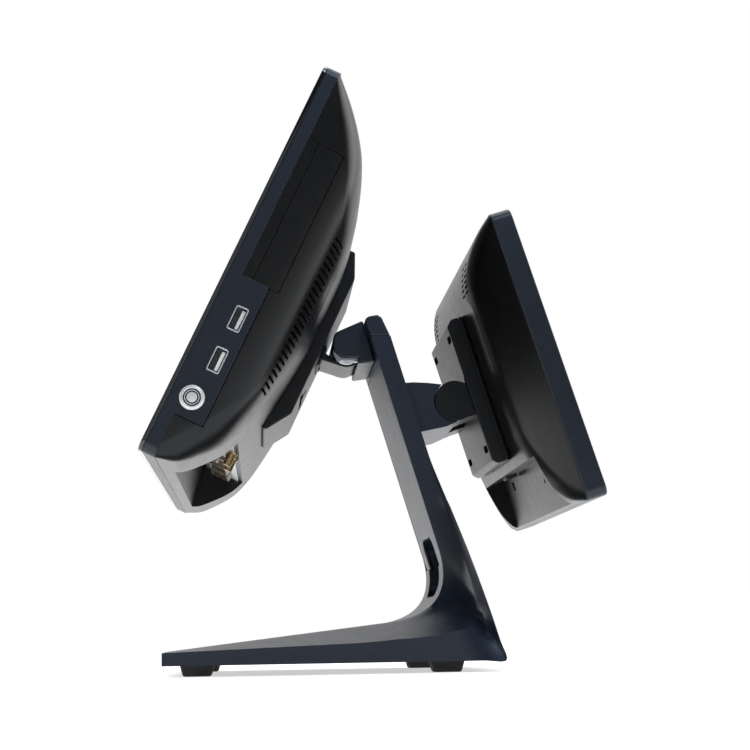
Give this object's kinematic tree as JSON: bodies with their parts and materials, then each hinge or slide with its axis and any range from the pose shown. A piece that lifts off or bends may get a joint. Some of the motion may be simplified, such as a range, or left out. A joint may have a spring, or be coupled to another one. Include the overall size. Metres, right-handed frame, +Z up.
{
  "type": "pos touchscreen terminal",
  "caption": "Counter touch terminal: tilting cashier screen and smaller customer screen back to back on a leaning neck with a broad flared base, side ports and a push button.",
  "frame": {"origin": "centre of the base's footprint, at the level of the counter", "axes": "+X to the cashier's right, +Y from the cashier towards the customer, +Z up"},
  "size_m": [0.3768, 0.2694, 0.3418],
  "materials": {
    "stand_plastic": "dark blue-black moulded plastic, satin",
    "bezel_plastic": "blue-black moulded plastic, fine satin",
    "housing_plastic": "black moulded plastic, smooth semi-gloss",
    "bracket_paint": "black powder coat, satin",
    "screen_glass": "black-backed cover glass, gloss",
    "lcd_glass": "liquid crystal panel, glass and light guide",
    "drive_case": "brushed aluminium case",
    "bracket_plastic": "black glass-filled plastic, satin",
    "black_steel": "black coated sheet steel",
    "steel": "zinc plated steel",
    "panel_metal": "bright sheet steel",
    "chrome": "bright plated shell",
    "button_steel": "turned stainless steel",
    "connector_metal": "plated connector shells",
    "brass": "turned brass",
    "heatsink_aluminium": "extruded aluminium",
    "circuit_board": "green solder mask",
    "chip": "black moulded plastic",
    "tongue_plastic": "white insulating plastic",
    "rubber": "black rubber, matte"
  },
  "bodies": {
    "stand": {"stand_body": "stand_plastic", "neck_front_cover": "stand_plastic", "base_plate": "black_steel", "base_plate_screws": "steel", "rubber_feet": "rubber", "neck_cap": "stand_plastic", "hinge_shroud": "stand_plastic", "hinge_bracket": "steel", "tilt_shaft": "steel", "tilt_washers": "steel", "tilt_nuts": "steel", "customer_arm": "stand_plastic", "customer_arm_pin": "steel"},
    "main_display": {"touch_glass": "screen_glass", "front_bezel": "bezel_plastic", "lcd_panel": "lcd_glass", "rear_housing": "housing_plastic", "card_reader_blank": "housing_plastic", "chassis_plate": "panel_metal", "motherboard": "circuit_board", "board_standoffs": "brass", "processor": "chip", "cpu_heatsink": "heatsink_aluminium", "memory_module": "circuit_board", "wireless_card": "circuit_board", "storage_drive": "drive_case", "speakers": "housing_plastic", "touch_controller": "circuit_board", "port_plate": "panel_metal", "power_inlet": "chip", "lan_jack": "connector_metal", "usb_stack": "connector_metal", "video_port": "connector_metal", "serial_ports": "connector_metal", "side_usb_shells": "chrome", "side_usb_tongues": "tongue_plastic", "power_button_bush": "button_steel", "power_button_nut": "steel", "bracket_tray": "bracket_paint", "vesa_plate": "black_steel", "vesa_screws": "steel", "tilt_knuckle": "bracket_paint", "knuckle_screws": "steel"},
    "customer_display": {"customer_glass": "screen_glass", "customer_bezel": "bezel_plastic", "customer_lcd": "lcd_glass", "customer_housing": "housing_plastic", "customer_driver_board": "circuit_board", "customer_port": "chip", "customer_bracket_cover": "bracket_plastic", "customer_vesa_plate": "black_steel", "customer_vesa_screws": "steel", "customer_knuckle": "bracket_plastic", "customer_knuckle_screws": "steel"},
    "power_button": {"power_button_plunger": "button_steel"}
  },
  "joints": [
    {"name": "main_tilt", "type": "hinge", "parent": "stand", "child": "main_display", "pos_m": [0, 0.0135, 0.2065], "axis": [1, 0, 0], "range_deg": [-18, 20]},
    {"name": "customer_tilt", "type": "hinge", "parent": "stand", "child": "customer_display", "pos_m": [0, 0.0818, 0.1703], "axis": [1, 0, 0], "range_deg": [-20, 10]},
    {"name": "power_button_press", "type": "slide", "parent": "main_display", "child": "power_button", "axis": [-1, 0, 0], "range_m": [0, 0.0015], "stiffness_N_per_m": 1500}
  ]
}
